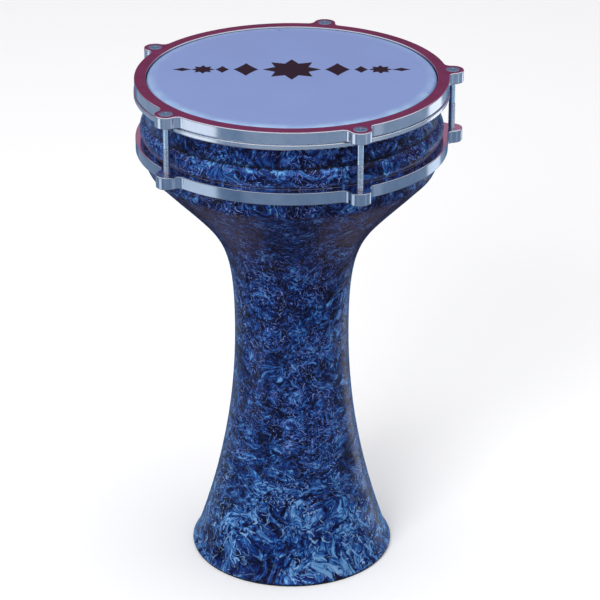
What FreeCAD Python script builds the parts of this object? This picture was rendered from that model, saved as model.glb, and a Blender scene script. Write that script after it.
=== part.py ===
import FreeCAD, Part
import math
import os

# A goblet drum (darbuka) with a screw-tensioned head.
# Millimetres, +Z up along the drum's axis, origin on the floor at the centre of the foot.
# Every turned piece is a section in the plane y = 0 (x is the radius) turned about Z.

# ---- overall ------------------------------------------------------------------------------
DRUM_HEIGHT = 380.0             # floor to the top face of the tension hoop
COLLAR_RADIUS = 106.0           # cylindrical seat of the shell, inside the counter ring
WAIST_RADIUS = 42.45            # outside of the neck at its narrowest
WAIST_HEIGHT = 181.5            # height of the narrowest place
FOOT_RADIUS = 76.2              # outer edge of the foot

# ---- shell wall ----------------------------------------------------------------------------
PEARL_THICKNESS = 1.0           # crushed-pearl inlay, measured along the radius
SHELL_WALL = 3.0                # cast wall under the inlay, measured along the radius
EDGE_WIDTH = 4.0                # width of the bearing edge under the head
EDGE_ROUND = 1.8                # rounding of the bearing edge

# ---- foot ----------------------------------------------------------------------------------
FOOT_RING_THICKNESS = 1.6       # rubber ring under the foot
FOOT_RING_WIDTH = 6.0
FOOT_RING_SETBACK = 0.8         # from the edge of the foot
LIP_EDGE = 1.0                  # upright edge of the foot above the rubber
LIP_HEIGHT = 12.0               # height at which the lip turns into the flare
LIP_FLARE = 4.85                # how far the lip kicks out beyond the flare
LIP_TURN = 0.5                  # height of the lip curve's corner, a share of its own height
FLARE_ANGLE = 19.0              # degrees from upright, at the top of the lip
FLARE_LOW_PULL = 0.42           # reach of the curve's end tangents, shares of its height
FLARE_HIGH_PULL = 0.27

# ---- bowl ----------------------------------------------------------------------------------
BOWL_ANGLE = 43.75              # degrees from upright, at the top of the bowl
BOWL_LOW_PULL = 0.62
BOWL_HIGH_PULL = 0.50
CONE_RUN = 6.4                  # straight stretch above the bowl's curve, along the radius
SHOULDER_ROUND = 12.0           # rounding between the cone and the collar
SHOULDER_DROP = 7.3             # top of that rounding, below the counter ring

# ---- collar bead ---------------------------------------------------------------------------
LEDGE_WIDTH = 1.3               # flat underside of the bead, on which the counter ring bears
LEDGE_LAND = 0.15               # bare upright edge above the ledge
BEAD_DEPTH = 3.75               # crest of the bead beyond the collar
BEAD_CREST_RISE = 6.3           # crest above the ledge
BEAD_HEIGHT = 14.2              # top of the bead above the ledge
GROOVE_HEIGHT = 0.8             # fine groove above the bead
GROOVE_DEPTH = 0.6
COLLAR_TAPER = 2.7              # the collar narrows by this much up to the bearing edge
TAPER_END_DROP = 0.6            # the taper ends this far below the head ring
PEARL_TOP_RISE = 1.4            # the inlay ends this far above the bottom of the head ring
BARE_SETBACK = 0.1              # the bare edge is this much inside the inlay

# ---- hoops ---------------------------------------------------------------------------------
LUG_COUNT = 5
FIRST_LUG_ANGLE = 5.7           # degrees from +X
HOOP_THICKNESS = 8.8
HOOP_WIDTH = 8.3
HOOP_RISE = 0.3                 # top of the hoop above the head
HOOP_CLEARANCE = 0.45           # between the hoop's bore and the head's skirt
EAR_RADIUS = 8.0                # round end of each ear, about its screw
EAR_FILLET = 5.0                # hollow corner between an ear and the hoop
HOOP_EDGE_ROUND = 0.5
COUNTER_RING_THICKNESS = 9.5
COUNTER_RING_CLEARANCE = 0.3    # on the collar

# ---- head ----------------------------------------------------------------------------------
FILM_THICKNESS = 0.4
FILM_OVERHANG = 0.1             # the flat film reaches this far beyond the bearing edge
SKIRT_CLEARANCE = 0.55          # between the skirt and the bearing edge
CHANNEL_CLEARANCE = 1.7         # between the head ring and the bearing edge
CHANNEL_WIDTH = 8.5
CHANNEL_HEIGHT = 4.2
CHANNEL_WALL = 1.2
CHANNEL_ROUND = 1.1

# ---- tension screws (countersunk, hexagon socket, M5) --------------------------------------
SCREW_LENGTH = 50.0
SCREW_RADIUS = 2.5              # thread, by its name
SHANK_RADIUS = 2.25             # plain shank above the rolled thread
THREAD_LENGTH = 24.5
THREAD_ENGAGEMENT = 5.5         # screw inside the counter ring, as the drum stands tuned
THREAD_CLEARANCE = 0.05         # running clearance of the thread, on the radius
HEAD_RADIUS = 5.0
HEAD_LAND = 0.2                 # upright edge of the screw's head
HEX_ACROSS_FLATS = 3.0
HEX_DEPTH = 2.2
TIP_CHAMFER = 0.6
ROD_GAP = 0.6                   # between the screw's full radius and the head ring
SCREW_HOLE_CLEARANCE = 0.15     # on the screw's full radius
COUNTERSINK_CLEARANCE = 0.1     # on the radius

# ---- thread inserts ------------------------------------------------------------------------
INSERT_WALL = 1.0
INSERT_COVER = 0.8              # ring left above the insert
INSERT_CHAMFER = 0.5

# ---- worked out ----------------------------------------------------------------------------
edge_radius = COLLAR_RADIUS - COLLAR_TAPER
skirt_inner = edge_radius + SKIRT_CLEARANCE
hoop_bore = skirt_inner + FILM_THICKNESS + HOOP_CLEARANCE
hoop_outer = hoop_bore + HOOP_WIDTH
channel_inner = edge_radius + CHANNEL_CLEARANCE
channel_outer = channel_inner + CHANNEL_WIDTH
screw_circle = channel_outer + ROD_GAP + SCREW_RADIUS
shell_inset = PEARL_THICKNESS + SHELL_WALL

film_top = DRUM_HEIGHT - HOOP_RISE
bearing_top = film_top - FILM_THICKNESS
hoop_bottom = DRUM_HEIGHT - HOOP_THICKNESS
channel_top = hoop_bottom - FILM_THICKNESS
channel_bottom = channel_top - CHANNEL_HEIGHT
screw_tip = DRUM_HEIGHT - SCREW_LENGTH
ring_top = screw_tip + THREAD_ENGAGEMENT
ring_bottom = ring_top - COUNTER_RING_THICKNESS
taper_end = channel_bottom - TAPER_END_DROP
pearl_top = channel_bottom + PEARL_TOP_RISE
shoulder_top = ring_bottom - SHOULDER_DROP

insert_bore = SCREW_RADIUS
thread_radius = insert_bore - THREAD_CLEARANCE
insert_radius = insert_bore + INSERT_WALL
insert_top = ring_top - INSERT_COVER
screw_hole = SCREW_RADIUS + SCREW_HOLE_CLEARANCE
lug_angles = [FIRST_LUG_ANGLE + 360.0 / LUG_COUNT * i for i in range(LUG_COUNT)]

AXIS = FreeCAD.Vector(0, 0, 1)
CENTRE = FreeCAD.Vector(0, 0, 0)


# ---- drawing helpers -----------------------------------------------------------------------
def at(radius, height):
    """A point of a section, from its radius and its height."""
    return FreeCAD.Vector(radius, 0, height)


def line(a, b):
    return Part.LineSegment(a, b).toShape()


def polyline(points):
    """Straight edges from each point to the next."""
    return [line(a, b) for a, b in zip(points, points[1:])]


def arc(a, middle, b):
    return Part.Arc(a, middle, b).toShape()


def curve(*poles):
    """A Bezier curve on its control points."""
    bezier = Part.BezierCurve()
    bezier.setPoles(list(poles))
    return bezier.toShape()


def turned(edges):
    """The solid that a closed section sweeps about the drum's axis."""
    wire = Part.Wire(Part.__sortEdges__(edges))
    return Part.Face(wire).revolve(CENTRE, AXIS, 360)


def turned_polygon(points):
    return turned(polyline(points + [points[0]]))


def at_lug(shape, angle):
    """A shape made on the drum's axis, moved to the screw circle at this angle."""
    moved = shape.copy()
    moved.translate(FreeCAD.Vector(screw_circle, 0, 0))
    moved.rotate(CENTRE, AXIS, angle)
    return moved


# ---- the goblet's outline ------------------------------------------------------------------
def goblet_outline(inset, top):
    """The outside from the rubber ring up to the collar, all radii less by the inset."""
    foot = FOOT_RADIUS - inset
    flare = foot - LIP_FLARE
    waist = WAIST_RADIUS - inset
    collar = COLLAR_RADIUS - inset

    lip_edge = at(foot, FOOT_RING_THICKNESS + LIP_EDGE)
    lip_top = at(flare, LIP_HEIGHT)
    lean = math.radians(FLARE_ANGLE)
    turn_drop = LIP_TURN * (LIP_HEIGHT - lip_edge.z)
    lip_turn = at(flare + turn_drop * math.tan(lean), LIP_HEIGHT - turn_drop)

    flare_height = WAIST_HEIGHT - LIP_HEIGHT
    low = FLARE_LOW_PULL * flare_height
    flare_low = at(flare - low * math.sin(lean), LIP_HEIGHT + low * math.cos(lean))
    flare_high = at(waist, WAIST_HEIGHT - FLARE_HIGH_PULL * flare_height)
    neck = at(waist, WAIST_HEIGHT)

    slope = math.radians(BOWL_ANGLE)
    round_start = at(collar - SHOULDER_ROUND * (1 - math.cos(slope)),
                     shoulder_top - SHOULDER_ROUND * math.sin(slope))
    round_middle = at(collar - SHOULDER_ROUND * (1 - math.cos(slope / 2)),
                      shoulder_top - SHOULDER_ROUND * math.sin(slope / 2))
    round_end = at(collar, shoulder_top)
    bowl_end = at(round_start.x - CONE_RUN, round_start.z - CONE_RUN / math.tan(slope))
    bowl_height = bowl_end.z - WAIST_HEIGHT
    high = BOWL_HIGH_PULL * bowl_height
    bowl_low = at(waist, WAIST_HEIGHT + BOWL_LOW_PULL * bowl_height)
    bowl_high = at(bowl_end.x - high * math.sin(slope), bowl_end.z - high * math.cos(slope))

    return [
        line(at(foot, FOOT_RING_THICKNESS), lip_edge),
        curve(lip_edge, lip_turn, lip_top),
        curve(lip_top, flare_low, flare_high, neck),
        curve(neck, bowl_low, bowl_high, bowl_end),
        line(bowl_end, round_start),
        arc(round_start, round_middle, round_end),
        line(round_end, at(collar, top)),
    ]


def collar_outline(inset, grooved):
    """The bead and the tapered collar above it, all radii less by the inset."""
    bead_start = at(COLLAR_RADIUS + LEDGE_WIDTH - inset, ring_top + LEDGE_LAND)
    crest = at(COLLAR_RADIUS + BEAD_DEPTH - inset, ring_top + BEAD_CREST_RISE)
    bead_end = at(COLLAR_RADIUS - inset, ring_top + BEAD_HEIGHT)
    above = at(bead_end.x, bead_end.z + GROOVE_HEIGHT)
    groove = [at(bead_end.x - GROOVE_DEPTH, bead_end.z + GROOVE_HEIGHT / 2)] if grooved else []
    rest = [above, at(edge_radius - inset, taper_end), at(edge_radius - inset, pearl_top)]
    return [arc(bead_start, crest, bead_end)] + polyline([bead_end] + groove + rest)


# ---- shell and its inlay -------------------------------------------------------------------
def make_shell():
    """Cast body: stepped in under the inlay, bare where the counter ring and the head bear."""
    inner_collar = COLLAR_RADIUS - shell_inset
    bare_edge = edge_radius - BARE_SETBACK
    inner_edge = bare_edge - EDGE_WIDTH
    outside = goblet_outline(PEARL_THICKNESS, ring_bottom)
    seat = polyline([
        at(COLLAR_RADIUS - PEARL_THICKNESS, ring_bottom),
        at(COLLAR_RADIUS, ring_bottom),
        at(COLLAR_RADIUS, ring_top),
        at(COLLAR_RADIUS + LEDGE_WIDTH, ring_top),
        at(COLLAR_RADIUS + LEDGE_WIDTH, ring_top + LEDGE_LAND),
        at(COLLAR_RADIUS + LEDGE_WIDTH - PEARL_THICKNESS, ring_top + LEDGE_LAND),
    ])
    bead = collar_outline(PEARL_THICKNESS, grooved=False)
    lean = EDGE_ROUND * (1 - math.sqrt(0.5))
    edge = [
        line(at(edge_radius - PEARL_THICKNESS, pearl_top), at(bare_edge, pearl_top)),
        line(at(bare_edge, pearl_top), at(bare_edge, bearing_top - EDGE_ROUND)),
        arc(at(bare_edge, bearing_top - EDGE_ROUND), at(bare_edge - lean, bearing_top - lean),
            at(bare_edge - EDGE_ROUND, bearing_top)),
        line(at(bare_edge - EDGE_ROUND, bearing_top), at(inner_edge + EDGE_ROUND, bearing_top)),
        arc(at(inner_edge + EDGE_ROUND, bearing_top), at(inner_edge + lean, bearing_top - lean),
            at(inner_edge, bearing_top - EDGE_ROUND)),
    ]
    inside_top = polyline([at(inner_edge, bearing_top - EDGE_ROUND), at(inner_edge, taper_end),
                           at(inner_collar, ring_top)])
    inside = goblet_outline(shell_inset, ring_top)[2:]
    inner_foot = at(FOOT_RADIUS - LIP_FLARE - shell_inset, FOOT_RING_THICKNESS)
    bottom = polyline([at(inner_foot.x, LIP_HEIGHT), inner_foot,
                       at(FOOT_RADIUS - PEARL_THICKNESS, FOOT_RING_THICKNESS)])
    return turned(outside + seat + bead + edge + inside_top + inside + bottom)


def make_pearl_body():
    """Inlay from the rubber ring up to the counter ring."""
    ends = [
        line(at(FOOT_RADIUS - PEARL_THICKNESS, FOOT_RING_THICKNESS), at(FOOT_RADIUS, FOOT_RING_THICKNESS)),
        line(at(COLLAR_RADIUS - PEARL_THICKNESS, ring_bottom), at(COLLAR_RADIUS, ring_bottom)),
    ]
    return turned(goblet_outline(0, ring_bottom) + goblet_outline(PEARL_THICKNESS, ring_bottom) + ends)


def make_pearl_collar():
    """Inlay over the bead and the collar, up behind the head ring."""
    start = COLLAR_RADIUS + LEDGE_WIDTH
    ends = [
        line(at(start - PEARL_THICKNESS, ring_top + LEDGE_LAND), at(start, ring_top + LEDGE_LAND)),
        line(at(edge_radius - PEARL_THICKNESS, pearl_top), at(edge_radius, pearl_top)),
    ]
    return turned(collar_outline(0, grooved=True) + collar_outline(PEARL_THICKNESS, grooved=False) + ends)


def make_foot_ring():
    """Flat rubber ring under the foot."""
    outer = FOOT_RADIUS - FOOT_RING_SETBACK
    inner = outer - FOOT_RING_WIDTH
    return turned_polygon([at(inner, 0), at(outer, 0), at(outer, FOOT_RING_THICKNESS),
                           at(inner, FOOT_RING_THICKNESS)])


# ---- hoops ---------------------------------------------------------------------------------
def eared_wire(height):
    """Outline of a hoop: a circle with a round ear at each screw, and a hollow fillet at its sides.

    A fillet circle touches the hoop's circle and the ear's circle from outside, so its centre is
    found from the triangle of the three centres.
    """
    reach = hoop_outer + EAR_FILLET
    span = EAR_RADIUS + EAR_FILLET
    spread = math.acos((reach ** 2 + screw_circle ** 2 - span ** 2) / (2 * reach * screw_circle))

    def polar(radius, angle):
        return FreeCAD.Vector(radius * math.cos(angle), radius * math.sin(angle), height)

    edges = []
    step = math.radians(360.0 / LUG_COUNT)
    for lug in lug_angles:
        middle = math.radians(lug)
        screw = polar(screw_circle, middle)
        touches = []
        for side in (-1, 1):
            centre = polar(reach, middle + side * spread)
            on_hoop = polar(hoop_outer, middle + side * spread)
            on_ear = screw + (centre - screw).normalize() * EAR_RADIUS
            towards = ((on_hoop - centre) + (on_ear - centre)).normalize()
            edges.append(arc(on_hoop, centre + towards * EAR_FILLET, on_ear))
            touches.append(on_ear)
        edges.append(arc(touches[0], polar(screw_circle + EAR_RADIUS, middle), touches[1]))
        edges.append(arc(polar(hoop_outer, middle + spread), polar(hoop_outer, middle + step / 2),
                         polar(hoop_outer, middle + step - spread)))
    return Part.Wire(Part.__sortEdges__(edges))


def eared_ring(bottom, thickness, bore):
    """A flat eared ring with rounded edges, before its screw holes."""
    body = Part.Face(eared_wire(bottom)).extrude(AXIS * thickness)
    hole = Part.makeCylinder(bore, thickness + 2, FreeCAD.Vector(0, 0, bottom - 1))
    ring = body.cut(hole)
    rims = [e for e in ring.Edges if abs(e.BoundBox.ZLength) < 1e-6]
    return ring.makeFillet(HOOP_EDGE_ROUND, rims)


def make_tension_hoop():
    """Upper hoop, with a countersunk hole in each ear."""
    mouth = HEAD_RADIUS + HEAD_LAND + COUNTERSINK_CLEARANCE
    drill = turned_polygon([
        at(0, hoop_bottom - 1),
        at(screw_hole, hoop_bottom - 1),
        at(screw_hole, DRUM_HEIGHT - (mouth - screw_hole)),
        at(mouth, DRUM_HEIGHT),
        at(mouth, DRUM_HEIGHT + 1),
        at(0, DRUM_HEIGHT + 1),
    ])
    hoop = eared_ring(hoop_bottom, HOOP_THICKNESS, hoop_bore)
    return hoop.cut([at_lug(drill, angle) for angle in lug_angles])


def make_counter_ring():
    """Lower ring, with a stepped hole in each ear for its insert."""
    drill = turned_polygon([
        at(0, ring_bottom - 1),
        at(insert_radius, ring_bottom - 1),
        at(insert_radius, insert_top),
        at(screw_hole, insert_top),
        at(screw_hole, ring_top + 1),
        at(0, ring_top + 1),
    ])
    ring = eared_ring(ring_bottom, COUNTER_RING_THICKNESS, COLLAR_RADIUS + COUNTER_RING_CLEARANCE)
    return ring.cut([at_lug(drill, angle) for angle in lug_angles])


def make_thread_insert():
    """Threaded bush pressed into an ear of the counter ring from below."""
    return turned_polygon([
        at(insert_bore + INSERT_CHAMFER, ring_bottom),
        at(insert_radius, ring_bottom),
        at(insert_radius, insert_top),
        at(insert_bore, insert_top),
        at(insert_bore, ring_bottom + INSERT_CHAMFER),
    ])


# ---- head ----------------------------------------------------------------------------------
def make_head_film():
    """Flat playing surface, lying on the bearing edge."""
    return Part.makeCylinder(edge_radius + FILM_OVERHANG, FILM_THICKNESS, at(0, bearing_top))


def make_head_skirt():
    """The film's edge, drawn down inside the hoop and turned out over the head ring."""
    outer = skirt_inner + FILM_THICKNESS
    flange = channel_outer - CHANNEL_WALL
    return turned_polygon([
        at(skirt_inner, film_top), at(skirt_inner, channel_top), at(flange, channel_top),
        at(flange, hoop_bottom), at(outer, hoop_bottom), at(outer, film_top),
    ])


def make_head_ring():
    """Channel that holds the film's edge: open on top, with round lower corners."""
    low, high = channel_bottom, channel_top
    inner, outer = channel_inner, channel_outer
    lean = CHANNEL_ROUND * (1 - math.sqrt(0.5))
    floor = low + CHANNEL_WALL
    return turned([
        line(at(inner + CHANNEL_ROUND, low), at(outer - CHANNEL_ROUND, low)),
        arc(at(outer - CHANNEL_ROUND, low), at(outer - lean, low + lean), at(outer, low + CHANNEL_ROUND)),
        arc(at(inner, low + CHANNEL_ROUND), at(inner + lean, low + lean), at(inner + CHANNEL_ROUND, low)),
        *polyline([
            at(outer, low + CHANNEL_ROUND), at(outer, high), at(outer - CHANNEL_WALL, high),
            at(outer - CHANNEL_WALL, floor), at(inner + CHANNEL_WALL, floor),
            at(inner + CHANNEL_WALL, high), at(inner, high), at(inner, low + CHANNEL_ROUND),
        ]),
    ])


def make_head_resin():
    """Resin that fills the channel under the film's edge."""
    inner = channel_inner + CHANNEL_WALL
    outer = channel_outer - CHANNEL_WALL
    floor = channel_bottom + CHANNEL_WALL
    return turned_polygon([at(inner, floor), at(outer, floor), at(outer, channel_top),
                           at(inner, channel_top)])


# ---- screws --------------------------------------------------------------------------------
def make_tension_screw():
    """Countersunk screw, its head flush with the hoop and its tip inside the counter ring."""
    cone_top = DRUM_HEIGHT - HEAD_LAND
    thread_top = screw_tip + THREAD_LENGTH
    body = turned_polygon([
        at(0, screw_tip),
        at(thread_radius - TIP_CHAMFER, screw_tip),
        at(thread_radius, screw_tip + TIP_CHAMFER),
        at(thread_radius, thread_top),
        at(SHANK_RADIUS, thread_top),
        at(SHANK_RADIUS, cone_top - (HEAD_RADIUS - SHANK_RADIUS)),
        at(HEAD_RADIUS, cone_top),
        at(HEAD_RADIUS, DRUM_HEIGHT),
        at(0, DRUM_HEIGHT),
    ])
    corner = HEX_ACROSS_FLATS / math.sqrt(3)
    floor = DRUM_HEIGHT - HEX_DEPTH
    corners = [FreeCAD.Vector(corner * math.cos(math.radians(60 * i)),
                              corner * math.sin(math.radians(60 * i)), floor) for i in range(6)]
    socket = Part.Face(Part.makePolygon(corners + corners[:1])).extrude(AXIS * (HEX_DEPTH + 1))
    return body.cut(socket)


# ---- export --------------------------------------------------------------------------------
def build_all():
    nodes = {
        "shell": make_shell(),
        "pearl_body": make_pearl_body(),
        "pearl_collar": make_pearl_collar(),
        "foot_ring": make_foot_ring(),
        "counter_ring": make_counter_ring(),
        "tension_hoop": make_tension_hoop(),
        "head_ring": make_head_ring(),
        "head_resin": make_head_resin(),
        "head_film": make_head_film(),
        "head_skirt": make_head_skirt(),
    }
    for number, angle in enumerate(lug_angles, start=1):
        nodes[f"thread_insert_{number}"] = at_lug(make_thread_insert(), angle)
        nodes[f"tension_screw_{number}"] = at_lug(make_tension_screw(), angle)
    return nodes


os.makedirs("parts", exist_ok=True)
for name, shape in build_all().items():
    shape.exportStep(f"parts/{name}.step")
    print(f"{name:18s} solids {len(shape.Solids)}  valid {shape.isValid()}  {shape.Volume / 1000:9.3f} cm3")
print(f"screw circle {screw_circle:.2f}, hoop bore {hoop_bore:.2f}, ring top {ring_top:.2f}")
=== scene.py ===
"""The looks of a goblet drum with a screw-tuned head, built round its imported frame.

Everything is in metres, in the frame's own axes: +Z up the drum's axis, -Y towards the viewer,
origin on the floor at the centre of the foot. Inside the materials, points are in millimetres.
"""

import logging
import math
from dataclasses import dataclass
from enum import Enum

import bpy
import numpy as np
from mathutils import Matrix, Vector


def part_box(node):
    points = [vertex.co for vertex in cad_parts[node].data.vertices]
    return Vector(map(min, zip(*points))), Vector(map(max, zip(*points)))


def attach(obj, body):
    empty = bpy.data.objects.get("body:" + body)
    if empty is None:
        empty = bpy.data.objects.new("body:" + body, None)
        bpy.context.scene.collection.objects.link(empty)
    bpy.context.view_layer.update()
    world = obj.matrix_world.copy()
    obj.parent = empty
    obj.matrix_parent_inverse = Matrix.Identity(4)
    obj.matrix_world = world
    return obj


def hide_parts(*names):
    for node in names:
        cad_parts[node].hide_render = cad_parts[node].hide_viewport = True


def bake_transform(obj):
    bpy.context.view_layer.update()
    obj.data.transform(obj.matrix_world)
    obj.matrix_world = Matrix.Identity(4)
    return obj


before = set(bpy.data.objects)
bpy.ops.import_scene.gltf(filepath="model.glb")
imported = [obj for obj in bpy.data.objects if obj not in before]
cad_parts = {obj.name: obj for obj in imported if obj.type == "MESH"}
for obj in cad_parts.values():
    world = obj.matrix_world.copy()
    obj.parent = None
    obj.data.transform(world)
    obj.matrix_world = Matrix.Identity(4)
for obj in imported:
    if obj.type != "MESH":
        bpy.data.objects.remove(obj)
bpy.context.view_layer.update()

log = logging.getLogger("darbuka")

Colour = tuple[float, float, float]
MM = 0.001
LEVEL = (1.0, 1.0, 0.0)     # keeps a vector's level part
MIDDLE = (0.5, 0.5, 0.5)    # the mean of a noise's or a cell's colour
SOFT = (0.3, 0.7)           # the middle of a noise, for a soft change
SCREWS = 5


class Body(str, Enum):
    """The frame's bodies that new pieces ride on."""

    DRUM = "drum_body"
    HOOP = "hoop_body"


class Slot(str, Enum):
    """Names of the record's material slots for the film and the screws; nothing here uses them."""

    FILM = "head_film"
    SCREW = "screw_steel"


def dimmed(colour: Colour, share: float) -> Colour:
    """The same colour with only a share of its light, or with more for a share above 1."""
    return tuple(part * share for part in colour)


# ---- shader maths ---------------------------------------------------------------------------
class Value:
    """A socket of a node tree, so that shader maths is written as an expression."""

    def __init__(self, shader: "Shader", socket: bpy.types.NodeSocket) -> None:
        """Wraps a socket.

        Args:
            shader: the shader that the socket belongs to.
            socket: an output socket.
        """
        self.shader = shader
        self.socket = socket

    def _maths(self, operation: str, *terms: "Value | float") -> "Value":
        """Adds a Math node on these terms and returns its result."""
        return self.shader.node("Math", {"operation": operation}, dict(enumerate(terms)))

    def __add__(self, other: "Value | float") -> "Value":
        """Sum."""
        return self._maths("ADD", self, other)

    __radd__ = __add__

    def __mul__(self, other: "Value | float") -> "Value":
        """Product."""
        return self._maths("MULTIPLY", self, other)

    __rmul__ = __mul__

    def __sub__(self, other: "Value | float") -> "Value":
        """Difference."""
        return self._maths("SUBTRACT", self, other)

    def __rsub__(self, other: "Value | float") -> "Value":
        """Difference, with the number first."""
        return self._maths("SUBTRACT", other, self)

    def __abs__(self) -> "Value":
        """Distance from zero."""
        return self._maths("ABSOLUTE", self)

    def sibling(self, output: str) -> "Value":
        """Another output of the same node."""
        return Value(self.shader, self.socket.node.outputs[output])

    def step(self, low: float, high: float) -> "Value":
        """Goes smoothly from 0 at low to 1 at high.

        Args:
            low: the value that gives 0.
            high: the value that gives 1, above or below low.

        Returns:
            The smoothed share.
        """
        settings = {"interpolation_type": "SMOOTHSTEP"}
        return self.shader.node("MapRange", settings, {0: self, 1: low, 2: high})


class Shader:
    """The nodes of a material or of the world, and the few calls that fill them."""

    def __init__(self, name: str, world: bool = False) -> None:
        """Starts with no nodes.

        Args:
            name: the material's or the world's name.
            world: whether it is the world.
        """
        self.owner = (bpy.data.worlds if world else bpy.data.materials).new(name)
        self.owner.use_nodes = True
        self.tree = self.owner.node_tree
        self.tree.nodes.clear()

    def node(self, kind: str, settings: dict | None = None, inputs: dict | None = None,
             output: str | int = 0) -> Value:
        """Adds any node.

        Args:
            kind: the node's type without its ShaderNode prefix.
            settings: properties set first; stops is a ramp's list of places and colours.
            inputs: values or links of its sockets, by name or number.
            output: the output socket to return.

        Returns:
            That output.
        """
        made = self.tree.nodes.new("ShaderNode" + kind)
        for name, value in (settings or {}).items():
            if name == "stops":
                self._set_stops(made.color_ramp, value)
            else:
                setattr(made, name, value)
        for name, value in (inputs or {}).items():
            if isinstance(value, Value):
                self.tree.links.new(value.socket, made.inputs[name])
            else:
                made.inputs[name].default_value = value
        return Value(self, made.outputs[output])

    @staticmethod
    def _set_stops(ramp: bpy.types.ColorRamp, stops: list[tuple[float, Colour]]) -> None:
        """Gives a colour ramp its stops.

        Args:
            ramp: the ramp.
            stops: the place and the colour of each stop, from low to high.
        """
        while len(ramp.elements) < len(stops):
            ramp.elements.new(1.0)
        for element, (place, colour) in zip(ramp.elements, stops):
            element.position = place
            element.color = (*colour, 1.0)

    def place(self) -> Value:
        """The point's place on the piece, in millimetres."""
        here = self.node("TexCoord", output="Object")
        return self.vector("SCALE", here, Scale=1 / MM)

    def vector(self, operation: str, *terms: "Value | Colour", output: str | int = 0,
               **named: float) -> Value:
        """Adds a Vector Math node.

        Args:
            operation: its operation.
            *terms: its vectors.
            output: 0 for the vector, "Value" for a number.
            **named: sockets set by name, such as Scale.

        Returns:
            The result.
        """
        inputs = dict(enumerate(terms)) | named
        return self.node("VectorMath", {"operation": operation}, inputs, output)

    def part(self, vector: Value, axis: str) -> Value:
        """One of a vector's three numbers."""
        return self.node("SeparateXYZ", None, {0: vector}, output=axis)

    def height(self) -> Value:
        """The point's height above the floor, in millimetres."""
        return self.part(self.place(), "Z")

    def radius(self) -> Value:
        """The point's distance from the drum's axis, in millimetres."""
        level = self.vector("MULTIPLY", self.place(), LEVEL)
        return self.vector("LENGTH", level, output="Value")

    def noise(self, where: Value, size: float, detail: float = 2.0, roughness: float = 0.5,
              distortion: float = 0.0, output: str = "Fac") -> Value:
        """Smooth noise.

        Args:
            where: the point, in millimetres.
            size: the width of its largest lumps, in millimetres.
            detail: how many finer layers it has.
            roughness: how strong those are.
            distortion: how far it is stirred.
            output: Fac for a number, Color for three.

        Returns:
            The noise, about 0.5.
        """
        inputs = {"Vector": where, "Scale": 1 / size, "Detail": detail, "Roughness": roughness,
                  "Distortion": distortion}
        return self.node("TexNoise", None, inputs, output)

    def cells(self, where: Value, size: float, feature: str = "F1",
              output: str = "Color") -> Value:
        """Irregular cells.

        Args:
            where: the point, in millimetres.
            size: the cells' width, in millimetres.
            feature: F1, or DISTANCE_TO_EDGE.
            output: Color for a random colour of each cell, or Distance.

        Returns:
            The cells' value there.
        """
        inputs = {"Vector": where, "Scale": 1 / size}
        return self.node("TexVoronoi", {"feature": feature}, inputs, output)

    def mix(self, share: "Value | float", low: "Value | Colour",
            high: "Value | Colour") -> Value:
        """Mixes two colours.

        Args:
            share: how much of the second.
            low: the first colour.
            high: the second colour.

        Returns:
            The mixed colour.
        """
        rgba = {6: self._opaque(low), 7: self._opaque(high)}
        return self.node("Mix", {"data_type": "RGBA"}, {0: share} | rgba, output=2)

    @staticmethod
    def _opaque(colour: "Value | Colour") -> "Value | tuple[float, float, float, float]":
        """A colour that a socket takes."""
        return colour if isinstance(colour, Value) else (*colour, 1.0)

    def ramp(self, share: Value, stops: list[tuple[float, Colour]]) -> Value:
        """A colour from a number, through a colour ramp."""
        return self.node("ValToRGB", {"stops": stops}, {0: share}, output="Color")

    def bump(self, height: Value, depth: float, strength: float = 1.0,
             normal: Value | None = None) -> Value:
        """A Bump node's normal.

        Args:
            height: the relief, from 0 to 1.
            depth: what 1 stands for, in metres.
            strength: how much of it shows.
            normal: the normal that it works on, if not the surface's own.

        Returns:
            The normal.
        """
        inputs = {"Strength": strength, "Distance": depth, "Height": height}
        if normal is not None:
            inputs["Normal"] = normal
        return self.node("Bump", None, inputs)

    def leaning(self, push: Value) -> Value:
        """The surface's normal, pushed over and made one long again."""
        facing = self.node("NewGeometry", output="Normal")
        return self.vector("NORMALIZE", self.vector("ADD", facing, push))

    def finish(self, **sockets: "Value | float | Colour") -> bpy.types.Material:
        """Closes the material with a Principled shader.

        Args:
            **sockets: its sockets, with underscores for spaces.

        Returns:
            The material.
        """
        inputs = {}
        for name, value in sockets.items():
            colour = isinstance(value, tuple)
            inputs[name.replace("_", " ")] = (*value, 1.0) if colour else value
        return self.close(self.node("BsdfPrincipled", None, inputs), "Material")

    def close(self, surface: Value, kind: str) -> "bpy.types.Material | bpy.types.World":
        """Links the surface to the output.

        Args:
            surface: the closing shader.
            kind: Material or World.

        Returns:
            The material or the world.
        """
        made = self.tree.nodes.new("ShaderNodeOutput" + kind)
        self.tree.links.new(surface.socket, made.inputs["Surface"])
        return self.owner


# ---- finishes -------------------------------------------------------------------------------
@dataclass(frozen=True)
class Stir:
    """A smooth push of every point, by up to about a quarter of the reach, in lumps of a size."""

    size: float
    reach: float

    def of(self, s: Shader, where: Value) -> Value:
        """The pushed points."""
        push = s.vector("SUBTRACT", s.noise(where, self.size, 1.0, output="Color"), MIDDLE)
        return s.vector("ADD", where, s.vector("SCALE", push, Scale=self.reach))


@dataclass(frozen=True)
class Curls:
    """Curling lines, where smooth noise is near its middle. The larger fine, the thinner."""

    size: float
    fine: float = 8.0

    def of(self, s: Shader, where: Value) -> Value:
        """The lines."""
        level = s.noise(where, self.size, 1.5, 0.55, 0.5)
        return (1 - abs(level - 0.5) * self.fine).step(0.0, 0.9)


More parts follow.
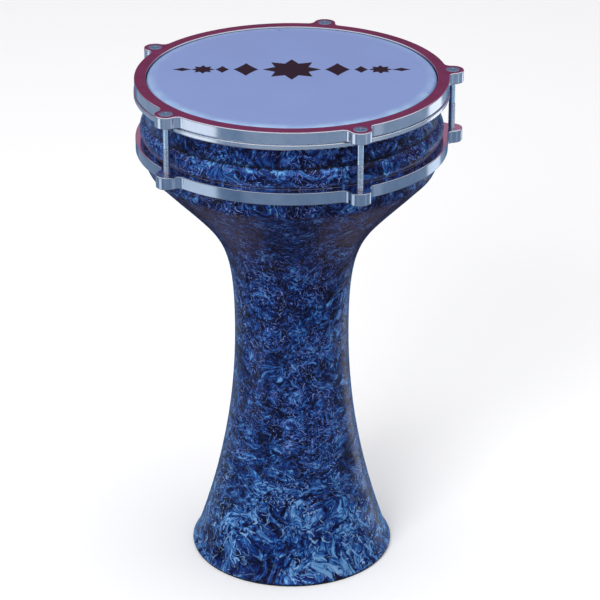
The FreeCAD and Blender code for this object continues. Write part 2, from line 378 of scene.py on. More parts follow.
@dataclass(frozen=True)
class Cuts:
    """Short thin lines: a share of the cells hold one thin flat sheet each, seen on edge."""

    cell: float
    thin: float
    share: float
    ends: tuple[float, float] = (0.66, 0.40)
    faintest: float = 0.3

    def of(self, s: Shader, where: Value) -> Value:
        """Each sheet stands at its cell's centre, faces its own way and has its own brightness.

        Args:
            s: the shader to build in.
            where: the point, in millimetres.

        Returns:
            How bright the lines are there.
        """
        own = s.cells(where, self.cell)
        offset = s.vector("SUBTRACT", where, own.sibling("Position"))
        facing = s.vector("NORMALIZE", s.vector("SUBTRACT", own, MIDDLE))
        across = s.vector("DOT_PRODUCT", offset, facing, output="Value")
        picked = s.node("SeparateColor", None, {0: own}, output="Blue")
        sheet = (1 - abs(across) * (1 / self.thin)).step(0.0, 0.7)
        held = picked.step(1 - self.share, 1.15 - self.share)
        bright = picked.sibling("Green") * (1 - self.faintest) + self.faintest
        return sheet * own.sibling("Distance").step(*self.ends) * held * bright


@dataclass(frozen=True)
class PearlInlay:
    """Crushed, dyed mother-of-pearl under a clear coat. Sizes in millimetres.

    The flakes lie in a stirred space, and each is streaked its own way. Soft patches and curling
    strands lighten them, crevices darken them, and thin bright cuts lie over them. Everything
    grows towards the foot, and the inlay is painted lighter there as light on the flare that faces
    up. A fine groove runs round above the bead, painted as a dark line of shade under a band of
    painted shade, and the bead's upper flank carries a painted highlight.
    """

    flake: float = 6.0
    streak: float = 2.3
    streak_pull: float = 0.86
    flake_lean: float = 0.36
    drift: Stir = Stir(24.0, 28.0)
    fold: Stir = Stir(7.5, 12.0)
    bend: Stir = Stir(8.0, 7.0)
    curls: Curls = Curls(5.2)
    crevices: Curls = Curls(7.5)
    crevice_offset: tuple[float, float, float] = (31.0, 17.0, 5.0)
    cuts: tuple[Cuts, ...] = (Cuts(5.0, 0.34, 0.8), Cuts(2.9, 0.26, 0.75), Cuts(1.8, 0.20, 0.7))
    foot_zone: tuple[float, float] = (130.0, 25.0)
    foot_growth: float = 0.42
    groove: tuple[float, float] = (349.7, 350.5)
    # painted shade: a dark line of shade in the groove, and a darker band of shade above it
    groove_shade_colour: Colour = (0.030, 0.028, 0.016)
    shade_colour: Colour = (0.004, 0.005, 0.014)
    cut_colour: Colour = (0.26, 0.39, 0.95)
    cut_colour_at_foot: Colour = (0.34, 0.64, 1.0)
    shades: tuple[tuple[float, Colour], ...] = (
        (0.0, (0.003, 0.006, 0.030)), (0.15, (0.006, 0.015, 0.090)),
        (0.36, (0.010, 0.048, 0.26)), (0.55, (0.024, 0.13, 0.44)),
        (0.75, (0.070, 0.28, 0.66)), (1.0, (0.23, 0.54, 0.90)))

    def _streaks(self, s: Shader, where: Value, lean: Value) -> Value:
        """Noise that is drawn out along each flake's own way.

        Args:
            s: the shader to build in.
            where: the point, in millimetres.
            lean: the flake's own way, of any length.

        Returns:
            The streaks, from 0 to 1.
        """
        way = s.vector("NORMALIZE", lean)
        along = s.vector("DOT_PRODUCT", where, way, output="Value")
        run = s.node("CombineXYZ", None, {0: along, 1: along, 2: along})
        pulled = s.vector("SCALE", s.vector("MULTIPLY", way, run), Scale=self.streak_pull)
        squeezed = s.vector("SUBTRACT", where, pulled)
        return s.noise(squeezed, self.streak, 2.0, 0.6).step(0.36, 0.70)

    def _grooved(self, s: Shader, height: Value, colour: Value) -> Value:
        """The colour with painted shade just above the groove and a dark line of painted shade in
        it.

        Args:
            s: the shader to build in.
            height: the point's height, in millimetres.
            colour: the inlay's colour.

        Returns:
            The changed colour.
        """
        low, high = self.groove
        # a dark line of painted shade in the groove
        line = height.step(low - 0.1, low + 0.25) * height.step(high + 0.1, high - 0.25)
        # painted shade on the collar just above the groove
        above = height.step(high - 0.3, high) * height.step(high + 4.0, high)
        shaded = s.mix(above * 0.65, colour, self.shade_colour)
        return s.mix(line * 0.9, shaded, self.groove_shade_colour)

    def material(self) -> bpy.types.Material:
        """Lays the layers over each other and closes them under the clear coat.

        Returns:
            The material.
        """
        s = Shader("pearl_inlay")
        place, height = s.place(), s.height()
        # the flakes grow and the cuts turn paler towards the foot; the inlay's lightening there is
        # painted light of the flare that faces up
        foot = height.step(*self.foot_zone)
        grown = s.vector("SCALE", place, Scale=1 - foot * self.foot_growth)
        drifted = self.drift.of(s, grown)
        folded = self.fold.of(s, drifted)

        flake = s.cells(folded, self.flake)
        edge = s.cells(folded, self.flake, "DISTANCE_TO_EDGE", "Distance")
        lean = s.vector("SUBTRACT", flake, MIDDLE)
        tone = s.node("SeparateColor", None, {0: flake}, output="Green")
        streak = self._streaks(s, folded, lean)

        low, high = self.groove
        # painted highlight on the bead's upper flank, just below the groove
        bead = height.step(low - 8.0, low - 5.0) * height.step(low, low - 1.5)
        collar = height.step(high, high + 3.0)
        area = s.noise(place, 26.0)
        patch = s.noise(folded, 11.0, distortion=0.9).step(0.38, 0.64)
        crevice = self.crevices.of(s, s.vector("ADD", folded, self.crevice_offset))
        curl = self.curls.of(s, folded) * s.noise(drifted, 14.0).step(0.42, 0.60)
        bent = self.bend.of(s, grown)
        crowded = s.noise(place, 34.0, 1.0).step(0.34, 0.60) * 0.75 + 0.25
        cuts = sum(layer.of(s, bent) for layer in self.cuts) * crowded
        rim = edge.step(0.055, 0.0) * tone.step(0.45, 0.9) * (1 - crevice)

        # the foot and bead terms are painted light: light on the flare that faces up, and a
        # highlight on the bead's upper flank
        light = (tone * 0.20 + streak * 0.46 + patch * 0.28 + curl * 0.50 + (area - 0.5) * 0.35
                 - crevice * 0.34 + foot * 0.21 + bead * 0.14 + collar * 0.06
                 - 0.09) * edge.step(-0.05, 0.10)
        pale = s.mix(foot, self.cut_colour, self.cut_colour_at_foot)
        colour = s.mix((cuts + rim * 0.6).step(0.0, 1.0), s.ramp(light, self.shades), pale)
        tilted = s.leaning(s.vector("SCALE", lean, Scale=self.flake_lean))
        normal = s.bump(streak + curl * 0.6 + cuts, 0.3 * MM, 0.4, tilted)
        return s.finish(Base_Color=self._grooved(s, height, colour), Metallic=0.58,
                        Roughness=0.36, Normal=normal, Specular_IOR_Level=0.2, Coat_Weight=0.4,
                        Coat_Roughness=0.14, Coat_IOR=1.35)


@dataclass(frozen=True)
class PolishedMetal:
    """Polished aluminium with faint turning lines and handling marks.

    The sides lean back over the last stretch below the top, as a broken edge does, and carry a
    painted highlight there. The top's height and the stretch are in metres.
    """

    name: str
    colour: Colour
    top: float
    roughness: float = 0.10
    turning: float = 0.25
    edge: float = 1.1 * MM
    edge_lean: float = 2.4
    edge_highlight: Colour = (0.80, 0.86, 0.93)

    def surface(self, s: Shader) -> tuple[Value, Value, Value]:
        """Colour, roughness and normal of the bare metal.

        Args:
            s: the shader to build in.

        Returns:
            The three values.
        """
        height = s.height()
        bands = s.node("CombineXYZ", None, {0: s.radius(), 1: height})
        turning = s.noise(bands, self.turning, 2.0, 0.6)
        haze = s.noise(s.place(), 9.0, 3.0, 0.6)
        broken = height.step((self.top - self.edge) / MM, self.top / MM)
        clean = s.mix(haze.step(*SOFT), dimmed(self.colour, 0.88), self.colour)
        roughness = self.roughness + haze.step(0.35, 0.8) * 0.07 + turning * 0.03
        back = s.leaning(s.node("CombineXYZ", None, {2: broken * self.edge_lean}))
        # broken also mixes in a painted highlight along the top edge
        return s.mix(broken, clean, self.edge_highlight), roughness, s.bump(turning, 0.02 * MM, 0.25, back)

    def material(self) -> bpy.types.Material:
        """The bare metal all over.

        Returns:
            The material.
        """
        s = Shader(self.name)
        colour, roughness, normal = self.surface(s)
        return s.finish(Base_Color=colour, Metallic=1.0, Roughness=roughness, Normal=normal)


@dataclass(frozen=True)
class ReflectionTintedTop:
    """Polished metal whose flat top carries a painted magenta reflection, a little uneven at its
    edge.

    The painted reflection sets in between two depths below the top, in millimetres.
    """

    metal: PolishedMetal
    reflection_tint: Colour
    depths: tuple[float, float] = (0.16, 0.06)

    def material(self) -> bpy.types.Material:
        """The metal's own sides under the top with its painted reflection.

        Returns:
            The material.
        """
        s = Shader(self.metal.name)
        colour, roughness, normal = self.metal.surface(s)
        uneven = s.noise(s.place(), 14.0, 3.0) * 0.06
        edges = (self.metal.top / MM - depth for depth in self.depths)
        cover = (s.height() + uneven).step(*edges)
        # the flat top's tint is a painted magenta reflection, clouded a little
        thick = s.noise(s.place(), 30.0).step(*SOFT)
        tint = s.mix(thick, dimmed(self.reflection_tint, 0.82), self.reflection_tint)
        return s.finish(Base_Color=s.mix(cover, colour, tint), Metallic=1.0,
                        Roughness=roughness + cover * 0.16, Normal=normal)


@dataclass(frozen=True)
class DrumFilm:
    """Satin polyester film, faintly clouded.

    It carries a painted highlight along the rim, most in front, where the film bends down, and it
    is scuffed there. The rim is a radius in metres.
    """

    colour: Colour = (0.172, 0.252, 0.50)
    rim_highlight: Colour = (0.27, 0.43, 0.62)
    scuffed: Colour = (0.045, 0.035, 0.12)
    rim: float = 0.1018

    def _towards_rim(self, radius: Value, start: float, end: float) -> Value:
        """Sets in between two shares of the rim's radius."""
        return radius.step(start * self.rim / MM, end * self.rim / MM)

    def material(self) -> bpy.types.Material:
        """The clouded film with its wear.

        Returns:
            The material.
        """
        s = Shader("head_film")
        place, radius = s.place(), s.radius()
        cloud = s.noise(place, 60.0, 3.0)
        colour = s.mix(cloud.step(*SOFT), dimmed(self.colour, 0.96), self.colour)
        front = s.part(place, "Y").step(20.0, -70.0) * 0.5 + 0.5
        patchy = s.noise(place, 12.0, 3.0).step(0.30, 0.66) * 0.65 + 0.35
        # painted highlight along the rim, strongest in front, in patches
        rim_highlight = self._towards_rim(radius, 0.93, 1.0) * patchy * front
        marks = s.noise(place, 3.0, 3.0, 0.7).step(0.67, 0.72)
        scuff = marks * self._towards_rim(radius, 0.86, 0.95)
        colour = s.mix(rim_highlight * 0.8, colour, self.rim_highlight)
        colour = s.mix(scuff * 0.7, colour, self.scuffed)
        return s.finish(Base_Color=colour, Roughness=0.34 + scuff * 0.3 + cloud * 0.08,
                        Normal=s.bump(s.noise(place, 0.5), 0.02 * MM, 0.2), IOR=1.55)


@dataclass(frozen=True)
class Ink:
    """Screen-printed ink, a little uneven."""

    colour: Colour = (0.010, 0.003, 0.010)

    def material(self) -> bpy.types.Material:
        """Slight mottle in its tone.

        Returns:
            The material.
        """
        s = Shader("head_ink")
        mottle = s.noise(s.place(), 3.0, 3.0)
        colour = s.mix(mottle.step(*SOFT), dimmed(self.colour, 0.7), self.colour)
        return s.finish(Base_Color=colour, Roughness=0.42 + mottle * 0.1, Specular_IOR_Level=0.15)


@dataclass(frozen=True)
class PlatedSteel:
    """Bright plated or machined steel, duller above a height where it was hardened and blacked.

    The height is in metres.
    """

    name: str
    colour: Colour
    roughness: float
    dull_from: float = math.inf
    dulled: Colour = (0.27, 0.34, 0.46)

    def material(self) -> bpy.types.Material:
        """Fine clouding of the plating, and the dull part where there is one.

        Returns:
            The material.
        """
        s = Shader(self.name)
        cloud = s.noise(s.place(), 2.2, 3.0, 0.65)
        colour = s.mix(cloud.step(0.3, 0.75), self.colour, dimmed(self.colour, 0.80))
        roughness = self.roughness + cloud * 0.10
        if math.isfinite(self.dull_from):
            dull = s.height().step(self.dull_from / MM - 0.1, self.dull_from / MM + 0.1)
            dark = tuple(part * share for part, share in zip(self.colour, self.dulled))
            colour = s.mix(dull, colour, dark)
            roughness = roughness + dull * 0.22
        return s.finish(Base_Color=colour, Metallic=1.0, Roughness=roughness,
                        Normal=s.bump(cloud, 0.02 * MM, 0.2))


@dataclass(frozen=True)
class CastMetal:
    """Cast aluminium, sand-grained, as inside the goblet."""

    colour: Colour = (0.50, 0.51, 0.53)

    def material(self) -> bpy.types.Material:
        """A fine grain over broad dull clouds.

        Returns:
            The material.
        """
        s = Shader("cast_metal")
        grain = s.noise(s.place(), 0.7, 3.0, 0.7)
        cloud = s.noise(s.place(), 18.0, 3.0)
        colour = s.mix(cloud.step(*SOFT), dimmed(self.colour, 0.75), self.colour)
        return s.finish(Base_Color=colour, Metallic=0.9, Roughness=0.42 + grain * 0.2,
                        Normal=s.bump(grain, 0.15 * MM, 0.6))


@dataclass(frozen=True)
class Dull:
    """A plain moulded material with a fine grain: rubber or cast resin."""

    name: str
    colour: Colour
    roughness: float

    def material(self) -> bpy.types.Material:
        """Speckle and a fine grain.

        Returns:
            The material.
        """
        s = Shader(self.name)
        grain = s.noise(s.place(), 0.9, 3.0, 0.6)
        colour = s.mix(grain.step(0.35, 0.75), self.colour, dimmed(self.colour, 1.6))
        return s.finish(Base_Color=colour, Roughness=self.roughness,
                        Normal=s.bump(grain, 0.1 * MM, 0.4))


# ---- surfaces -------------------------------------------------------------------------------
def around(steps: int) -> np.ndarray:
    """The angles of that many equal steps of one turn."""
    return np.linspace(0, 2 * math.pi, steps, endpoint=False)


def joined_rings(name: str, rings: np.ndarray, start: np.ndarray, end: np.ndarray,
                 sharp: float = 35.0) -> bpy.types.Object:
    """A closed surface through a stack of rings.

    Each ring is a closed loop of the same number of points, and each is joined to the next by
    quads. A pole closes the first and the last ring with triangles. The faces are turned round
    if the signed volume of all triangles is below zero.

    Args:
        name: the piece's name.
        rings: the points, as an array of rings by steps by three.
        start: the pole before the first ring.
        end: the pole after the last ring.
        sharp: edges bent by more than this many degrees are creased.

    Returns:
        The piece, its faces pointing outwards.
    """
    count, steps, _ = rings.shape
    here = np.arange(count * steps).reshape(count, steps)
    below, above = here[:-1], here[1:]
    sides = [below, np.roll(below, -1, 1), np.roll(above, -1, 1), above]
    quads = np.stack(sides, -1).reshape(-1, 4)
    points = np.vstack([rings.reshape(-1, 3), start, end])
    first, last = here[0], here[-1]
    pole = np.full(steps, count * steps)
    fans = np.vstack([np.stack([np.roll(first, -1), first, pole], -1),
                      np.stack([last, np.roll(last, -1), pole + 1], -1)])
    corners = np.vstack([quads[:, [0, 1, 2]], quads[:, [0, 2, 3]], fans])
    a, b, c = (points[corners[:, i]] for i in range(3))
    if np.einsum("ij,ij->i", a, np.cross(b, c)).sum() < 0:
        quads, fans = quads[:, ::-1], fans[:, ::-1]
    mesh = bpy.data.meshes.new(name)
    mesh.from_pydata(points.tolist(), [], quads.tolist() + fans.tolist())
    mesh.shade_smooth()
    mesh.set_sharp_from_angle(angle=math.radians(sharp))
    piece = bpy.data.objects.new(name, mesh)
    bpy.context.scene.collection.objects.link(piece)
    return piece


def turned(name: str, profile: np.ndarray, steps: int) -> bpy.types.Object:
    """A profile turned about the drum's axis: x = r cos a, y = r sin a, z = h.

    Args:
        name: the piece's name.
        profile: radius and height pairs; the first and the last lie on the axis.
        steps: how many steps it takes round.

    Returns:
        The piece.
    """
    angle = around(steps)
    radius, height = profile[1:-1, 0, None], profile[1:-1, 1, None]
    rings = np.stack([radius * np.cos(angle), radius * np.sin(angle), height + 0 * angle], -1)
    start, end = (np.array([0, 0, h]) for h in profile[[0, -1], 1])
    return joined_rings(name, rings, start, end)


def quarter(centre: tuple[float, float], radius: float, start: float, end: float,
            steps: int = 9) -> np.ndarray:
    """Points on an arc of a profile: centre plus radius times the cosine and sine of the angle."""
    angle = np.radians(np.linspace(start, end, steps))
    return np.stack([centre[0] + radius * np.cos(angle), centre[1] + radius * np.sin(angle)], -1)


def dress(piece: bpy.types.Object, material: bpy.types.Material) -> None:
    """Puts one material on a piece."""
    piece.data.materials.clear()
    piece.data.materials.append(material)


def join(name: str, pieces: list[bpy.types.Object]) -> bpy.types.Object:
    """Makes one piece of several, whose objects all sit at the origin.

    Args:
        name: the joined piece's name.
        pieces: the pieces; the first takes up the others.

    Returns:
        The joined piece.
    """
    with bpy.context.temp_override(active_object=pieces[0], selected_editable_objects=pieces,
                                   selected_objects=pieces):
        bpy.ops.object.join()
    pieces[0].name = pieces[0].data.name = name
    return pieces[0]


# ---- the drum's sub-assemblies --------------------------------------------------------------
@dataclass
class Goblet:
    """The cast shell with its inlay and its rubber ring: carried-over nodes, dressed."""

    pearl: PearlInlay = PearlInlay()
    cast: CastMetal = CastMetal()
    rubber: Dull = Dull("foot_rubber", (0.010, 0.010, 0.012), 0.7)

    def build(self) -> None:
        """Gives each node its finish."""
        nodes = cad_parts
        inlay = self.pearl.material()
        for node in ("pearl_body", "pearl_collar"):
            dress(nodes[node], inlay)
        dress(nodes["shell"], self.cast.material())
        dress(nodes["foot_ring"], self.rubber.material())
        log.info("goblet: inlay, shell and foot ring dressed")


@dataclass
class Hoops:
    """The tension hoop, the counter ring, the head ring and what is pressed into them."""

    hoop_metal: Colour = (0.62, 0.66, 0.72)
    # a painted magenta reflection on the tension hoop's flat top
    reflection_tint: Colour = (0.38, 0.088, 0.24)
    ring_metal: Colour = (0.40, 0.47, 0.56)
    channel_metal: Colour = (0.74, 0.78, 0.82)
    channel_roughness: float = 0.16
    resin: Dull = Dull("resin", (0.45, 0.40, 0.28), 0.5)
    insert: PlatedSteel = PlatedSteel("insert_steel", (0.50, 0.50, 0.50), 0.25)

    def build(self) -> None:
        """Gives each node its finish."""
        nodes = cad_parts
        top = {name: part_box(name)[1].z for name in ("tension_hoop", "counter_ring", "head_ring")}
        hoop = PolishedMetal("hoop_metal", self.hoop_metal, top["tension_hoop"])
        ring = PolishedMetal("ring_metal", self.ring_metal, top["counter_ring"])
        channel = PolishedMetal("channel_metal", self.channel_metal, top["head_ring"],
                                self.channel_roughness)
        dress(nodes["tension_hoop"], ReflectionTintedTop(hoop, self.reflection_tint).material())
        dress(nodes["counter_ring"], ring.material())
        dress(nodes["head_ring"], channel.material())
        dress(nodes["head_resin"], self.resin.material())
        insert = self.insert.material()
        for number in range(1, SCREWS + 1):
            dress(nodes[f"thread_insert_{number}"], insert)
        log.info("hoops: hoop, counter ring, head ring, resin and inserts dressed")


@dataclass
class Head:
    """The film: flat over the bearing edge, rounded over it, and drawn down inside the hoop."""

    finish: DrumFilm = DrumFilm()
    bend_in_thicknesses: float = 7.5
    flat_rings: int = 24
    wall_rings: int = 6
    innermost: float = 0.01
    innermost_below: float = 0.05
    steps: int = 192

    def build(self) -> bpy.types.Object:
        """Makes one sheet that stands for the flat film and for its skirt.

        Returns:
            The film.
        """
        flat_low, flat_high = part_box("head_film")
        skirt_low, skirt_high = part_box("head_skirt")
        thick = flat_high.z - flat_low.z
        top, flange_top = flat_high.z, skirt_low.z + thick
        flange, skirt = skirt_high.x, self._skirt_radius()
        bend = self.bend_in_thicknesses * thick
        centre = (skirt - bend, top - bend)
        flat = np.linspace(self.innermost, centre[0], self.flat_rings)[:-1]
        wall = np.linspace(centre[1], flange_top, self.wall_rings + 1)[1:]
        wall_inside = np.linspace(flange_top, centre[1], self.wall_rings + 1)[:-1]
        film = turned("film", np.vstack([
            [[0.0, top]],
            np.stack([flat, np.full(len(flat), top)], -1),
            quarter(centre, bend, 90, 0),
            np.stack([np.full(len(wall), skirt), wall], -1),
            [[flange, flange_top], [flange, flange_top - thick],
             [skirt - thick, flange_top - thick]],
            np.stack([np.full(len(wall_inside), skirt - thick), wall_inside], -1),
            quarter(centre, bend - thick, 0, 90),
            [[self.innermost_below, top - thick], [0.0, top - thick]],
        ]), self.steps)
        dress(film, self.finish.material())
        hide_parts("head_film", "head_skirt")
        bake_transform(film)
        log.info("film: %d faces", len(film.data.polygons))
        return film

    @staticmethod
    def _skirt_radius() -> float:
        """Reads the skirt's upright wall from its node's highest points.

        Returns:
            Its outer radius.
        """
        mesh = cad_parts["head_skirt"].data
        points = np.empty(len(mesh.vertices) * 3, np.float32)
        mesh.vertices.foreach_get("co", points)
        points = points.reshape(-1, 3)
        high = points[points[:, 2] > points[:, 2].max() - 0.1 * MM]
        return float(np.hypot(high[:, 0], high[:, 1]).max())


@dataclass(frozen=True)
class Motif:
    """One motif of the print, set out along the row. Sizes in metres."""

    place: float
    wide: float
    tall: float

    def outline(self) -> np.ndarray:
        """Points round the motif about its own centre, as an array of steps by two."""
        raise NotImplementedError


@dataclass(frozen=True)
class Star(Motif):
    """A star: its radius falls and rises as a triangle wave of the angle."""

    points: int = 8
    hollow: float = 0.62

    def outline(self) -> np.ndarray:
        """Points at the star's tips and between them.

        Returns:
            The points, as an array of steps by two.
        """
        angle = around(self.points * 2) + math.pi / 2
        reach = np.where(np.arange(self.points * 2) % 2 == 0, 1.0, self.hollow)
        return np.stack([self.wide / 2 * reach * np.cos(angle),
                         self.tall / 2 * reach * np.sin(angle)], -1)


@dataclass(frozen=True)
class Lozenge(Motif):
    """A lozenge with hollow sides: |x/a|^n + |y/b|^n = 1, with n below 1."""

    power: float = 0.9
    steps: int = 48

    def outline(self) -> np.ndarray:
        """Points round the curve: x = a cos^(2/n), y = b sin^(2/n), with their signs kept.

        Returns:
            The points, as an array of steps by two.
        """
        angle = around(self.steps)
        cos, sin = np.cos(angle), np.sin(angle)
        return np.stack([self.wide / 2 * np.sign(cos) * np.abs(cos) ** (2 / self.power),
                         self.tall / 2 * np.sign(sin) * np.abs(sin) ** (2 / self.power)], -1)


@dataclass
class HeadPrint:
    """A printed frieze on the film: a star, and the same row of motifs to its left and right."""

    ink: Ink = Ink()
    lift: float = 0.02 * MM
    thick: float = 0.05 * MM
    centre_y: float = 0.012
    star: Motif = Star(0.0, 0.042, 0.042)
    row: tuple[Motif, ...] = (
        Lozenge(0.033, 0.018, 0.026), Lozenge(0.050, 0.010, 0.014), Star(0.064, 0.017, 0.017),
        Lozenge(0.079, 0.014, 0.007))

    def _plate(self, motif: Motif, side: int) -> bpy.types.Object:
        """A flat plate of a motif: rings at half its outline and at its outline, below and above.

        Args:
            motif: the motif.
            side: 1 to the right, -1 to the left.

        Returns:
            The plate, resting on the film.
        """
        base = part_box("head_film")[1].z + self.lift
        middle = np.array([side * motif.place, self.centre_y])
        shares = np.array([0.5, 1.0, 1.0, 0.5])
        heights = base + np.array([0.0, 0.0, self.thick, self.thick])
        flat = middle + motif.outline() * shares[:, None, None]
        upright = np.broadcast_to(heights[:, None, None], flat.shape[:2] + (1,))
        start, end = (np.array([*middle, h]) for h in heights[[0, -1]])
        return joined_rings("motif", np.concatenate([flat, upright], -1), start, end)

    def build(self) -> bpy.types.Object:
        """Sets the motifs in a row and joins them.

        Returns:
            The print.
        """
        motifs = [self._plate(self.star, 1)]
        motifs += [self._plate(motif, side) for side in (-1, 1) for motif in self.row]
        piece = join("head_print", motifs)
        dress(piece, self.ink.material())
        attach(piece, Body.DRUM.value)
        log.info("print: %d faces", len(piece.data.polygons))
        return piece


@dataclass
class TensionScrew:
    """A countersunk socket screw with a rolled thread, standing for its plain node."""

    number: int
    finish: bpy.types.Material
    pitch: float = 0.8 * MM
    thread_length: float = 24.5 * MM
    shank: float = 2.25 * MM
    crest: float = 2.44 * MM
    root: float = 2.06 * MM
    tip_taper: float = 0.4 * MM
    land: float = 0.2 * MM
    bevel: float = 0.06 * MM
    bevel_depth: float = 0.036 * MM
    across_flats: float = 3.0 * MM
    mouth: float = 0.25 * MM
    mouth_depth: float = 0.2 * MM
    socket_depth: float = 2.2 * MM
    floor_drop: float = 0.2 * MM
    gap: float = 0.1 * MM
    sharp: float = 40.0
    rings_per_turn: int = 8
    steps: int = 48

    def build(self) -> bpy.types.Object:
        """Makes the screw on its own axis as a stack of rings, from its tip to its socket's floor.

        Returns:
            The screw.
        """
        low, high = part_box(f"tension_screw_{self.number}")
        head, centre = (high.x - low.x) / 2, (low + high) / 2
        angle = around(self.steps)
        radii, heights = self._thread(angle, low.z)
        hexagon, top = self._hexagon(angle), high.z
        floor = top - self.socket_depth
        plain = [
            (self.shank, heights[-1] + self.gap),
            (self.shank, top - self.land - (head - self.shank)),
            (head, top - self.land), (head, top - self.bevel_depth), (head - self.bevel, top),
            (hexagon + self.mouth, top), (hexagon, top - self.mouth_depth), (hexagon, floor),
            (hexagon * 0.5, floor - self.floor_drop),
        ]
        radii = np.vstack([radii] + [radius + 0 * angle for radius, _ in plain])
        heights = np.concatenate([heights, [height for _, height in plain]])
        rings = np.stack([centre.x + radii * np.cos(angle), centre.y + radii * np.sin(angle),
                          np.broadcast_to(heights[:, None], radii.shape)], -1)
        ends = (low.z, heights[-1] - self.gap)
        tip, pit = (np.array([centre.x, centre.y, height]) for height in ends)
        screw = joined_rings(f"screw_{self.number}_steel", rings, tip, pit, self.sharp)
        dress(screw, self.finish)
        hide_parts(f"tension_screw_{self.number}")
        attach(screw, f"screw_{self.number}")
        log.info("%s: %d faces", screw.name, len(screw.data.polygons))
        return screw

    def _thread(self, angle: np.ndarray, tip: float) -> tuple[np.ndarray, np.ndarray]:
        """The thread as a radius over angle and height.

        The phase is height / pitch - angle / one turn, so the ridge climbs to the right. The
        radius goes from root to crest as a clipped triangle wave of the phase. The ridge fades in
        from the tip over one turn, and out into the shank over one and a half.

        Args:
            angle: the angles of the steps.
            tip: the height of the screw's tip.

        Returns:
            The radii, as rings by steps, and the rings' heights.
        """
        count = int(self.thread_length / self.pitch * self.rings_per_turn) + 1
        climb = np.linspace(0, self.thread_length, count)
        phase = (climb[:, None] / self.pitch - angle / (2 * math.pi)) % 1.0
        ridge = np.clip(1.6 - 4.0 * np.abs(phase - 0.5), 0.0, 1.0)
        start = np.clip(climb / self.pitch, 0, 1)[:, None]
        out = np.clip((self.thread_length - climb) / (1.5 * self.pitch), 0, 1)[:, None]
        floor = self.root + (1 - out) * (self.shank - self.root)
        radii = floor + (self.crest - self.root) * ridge * start * out
        radii[0] = self.root - self.tip_taper
        return radii, tip + climb

    def _hexagon(self, angle: np.ndarray) -> np.ndarray:
        """Half the width across flats, over the cosine of the angle to the nearest flat.

        Args:
            angle: the angles of the steps.

        Returns:
            The socket's radius at each.
        """
        turn = math.pi / 3
        nearest = (angle + turn / 2) % turn - turn / 2
        return self.across_flats / 2 / np.cos(turn / 2 - np.abs(nearest))


# ---- the studio -----------------------------------------------------------------------------
@dataclass(frozen=True)
class Lamp:
    """A soft square light that faces the drum and that neither camera nor reflection sees."""

    name: str
    place: tuple[float, float, float]
    side: float
    watts: float
    aim: tuple[float, float, float] = (0.0, 0.0, 0.2)

    def build(self) -> None:
        """Hangs the light and turns it."""
        data = bpy.data.lights.new(self.name, "AREA")
        data.size = self.side
        data.energy = self.watts
        light = bpy.data.objects.new(self.name, data)
        bpy.context.scene.collection.objects.link(light)
        towards = np.array(self.aim) - np.array(self.place)
        level = math.hypot(towards[0], towards[1])
        light.location = self.place
        light.rotation_euler = (math.atan2(level, -towards[2]), 0,
                                math.atan2(towards[1], towards[0]) - math.pi / 2)
        light.visible_camera = False
        light.visible_glossy = False


@dataclass(frozen=True)
class Window:
    """An upright window of the room, or a dark screen, that only reflections see.

    It stands azimuth degrees from the front to the right, and rise degrees above the horizon.
    Wide and tall are half its width and height, in degrees. The light of a screen is below 0.
    """

    azimuth: float
    rise: float
    wide: float
    tall: float
    light: float

    def of(self, s: Shader, way: Value) -> Value:
        """Its light, which fades out over its edges.

        Args:
            s: the world's shader.
            way: the direction looked in.

        Returns:
            The light from that direction.
        """
        turn = math.radians(self.azimuth)
        level = s.vector("NORMALIZE", s.vector("MULTIPLY", way, LEVEL))
        towards = (math.sin(turn), -math.cos(turn), 0.0)
        across = s.vector("DOT_PRODUCT", level, towards, output="Value")
        edges = (math.cos(math.radians(self.wide * share)) for share in (1.12, 0.92))
        reach = math.sin(math.radians(self.tall))
        off = abs(s.part(way, "Z") - math.sin(math.radians(self.rise)))
        return across.step(*edges) * off.step(reach * 1.3, reach * 0.7) * self.light


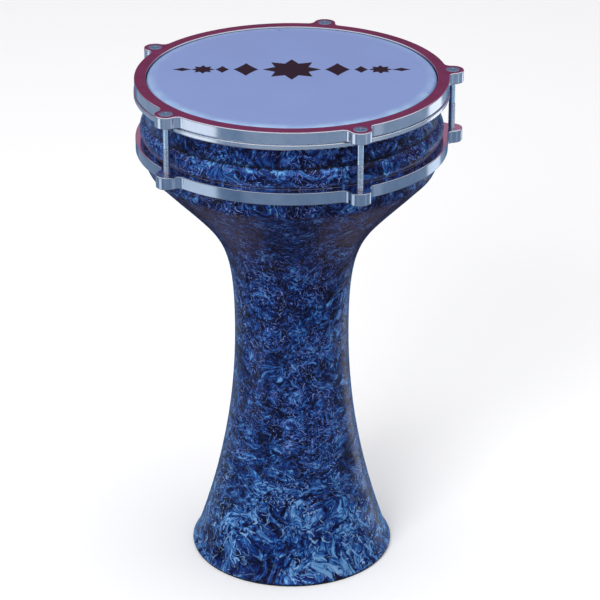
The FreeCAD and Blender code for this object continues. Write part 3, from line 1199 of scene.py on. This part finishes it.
@dataclass
class Studio:
    """A pale floor, soft light, the room that the metal reflects, and the camera.

    A stop of the room or of the fill is the sine of a direction's rise, and the light from there.
    """

    floor: Colour = (0.96, 0.96, 0.96)
    floor_radius: float = 6.0
    floor_thick: float = 0.01
    lamps: tuple[Lamp, ...] = (Lamp("key", (-1.0, -1.9, 1.5), 1.3, 38.0),
                               Lamp("top", (0.25, 0.1, 2.1), 1.6, 12.0))
    room: tuple[tuple[float, Colour], ...] = (
        (-1.0, (0.26, 0.21, 0.26)), (-0.62, (0.16, 0.14, 0.18)), (-0.53, (0.10, 0.13, 0.19)),
        (-0.46, (0.27, 0.37, 0.52)), (-0.37, (0.30, 0.40, 0.56)), (-0.24, (0.27, 0.35, 0.49)),
        (-0.12, (0.24, 0.30, 0.42)), (-0.03, (0.10, 0.10, 0.15)), (0.15, (0.10, 0.035, 0.07)),
        (0.32, (0.36, 0.15, 0.23)), (0.50, (0.40, 0.17, 0.26)), (0.62, (0.85, 0.92, 1.0)),
        (1.0, (1.0, 1.05, 1.1)))
    darkest: Colour = (0.02, 0.02, 0.03)
    windows: tuple[Window, ...] = (
        Window(-71, -21, 14.5, 5.0, 0.80), Window(130, -21, 11, 5.0, 1.0),
        Window(-20, -35, 14, 9, 0.20), Window(60, -21, 9, 4.0, 0.20),
        Window(-44, -21, 8, 3.6, -0.10), Window(180, -26, 24, 11, -0.20))
    fill: tuple[tuple[float, Colour], ...] = (
        (-1.0, (0.14, 0.14, 0.18)), (-0.16, (0.34, 0.34, 0.40)), (0.20, (0.64, 0.64, 0.68)),
        (1.0, (0.72, 0.72, 0.72)))
    backdrop: Colour = (1.0, 1.0, 1.0)
    camera_place: tuple[float, float, float] = (0.0, -1.8337, 1.0568)
    pitch: float = 24.992
    lens: float = 163.15
    shift: float = 0.01372

    def build(self) -> None:
        """Sets up floor, lights, surroundings and camera."""
        self._floor()
        for lamp in self.lamps:
            lamp.build()
        self._surroundings()
        self._camera()
        bpy.context.scene.view_settings.view_transform = "Standard"
        log.info("studio ready")

    def _floor(self) -> None:
        """A round floor with a faint, broad mottle. Only the camera and shadows meet it."""
        rim, under = self.floor_radius, -self.floor_thick
        floor = turned("floor", np.array([[0, 0], [rim, 0], [rim, under], [0, under]]), 96)
        s = Shader("floor")
        colour = s.mix(s.noise(s.place(), 400.0), dimmed(self.floor, 0.99), self.floor)
        dress(floor, s.finish(Base_Color=colour, Roughness=0.9))
        floor.visible_glossy = False
        floor.visible_diffuse = False

    def _surroundings(self) -> None:
        """White for the camera, a soft fill for matt surfaces, the room for reflections."""
        s = Shader("studio", world=True)
        way = s.node("TexCoord", output="Generated")
        share = s.part(way, "Z") * 0.5 + 0.5
        room, fill = (s.ramp(share, [(sine * 0.5 + 0.5, colour) for sine, colour in stops])
                      for stops in (self.room, self.fill))
        windows = sum(window.of(s, way) for window in self.windows)
        panes = s.node("CombineXYZ", None, {0: windows, 1: windows, 2: windows})
        mirrored = s.vector("MAXIMUM", s.vector("ADD", room, panes), self.darkest)
        diffuse, glossy = (s.node("LightPath", output=f"Is {kind} Ray")
                           for kind in ("Diffuse", "Glossy"))
        seen = s.mix(diffuse, self.backdrop, fill)
        seen = s.mix(glossy, seen, mirrored)
        background = s.node("Background", None, {"Color": seen, "Strength": 1.0})
        bpy.context.scene.world = s.close(background, "World")

    def _camera(self) -> None:
        """A long lens, looking down on the drum from the front."""
        data = bpy.data.cameras.new("camera")
        data.lens = self.lens
        data.sensor_width = 36.0
        data.shift_x = self.shift
        data.clip_end = 50.0
        camera = bpy.data.objects.new("camera", data)
        bpy.context.scene.collection.objects.link(camera)
        camera.location = self.camera_place
        camera.rotation_euler = (math.radians(90 - self.pitch), 0, 0)
        bpy.context.scene.camera = camera


def main() -> None:
    """Builds the sub-assemblies in order, then the studio."""
    logging.basicConfig(level=logging.INFO, format="%(name)s: %(message)s")
    Goblet().build()
    Hoops().build()
    Head().build()
    HeadPrint().build()
    dull_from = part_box("tension_screw_1")[1].z - 0.4 * MM
    steel = PlatedSteel("screw_steel", (0.78, 0.92, 1.0), 0.19, dull_from).material()
    for number in range(1, SCREWS + 1):
        TensionScrew(number, steel).build()
    Studio().build()


if __name__ == "__main__":
    main()
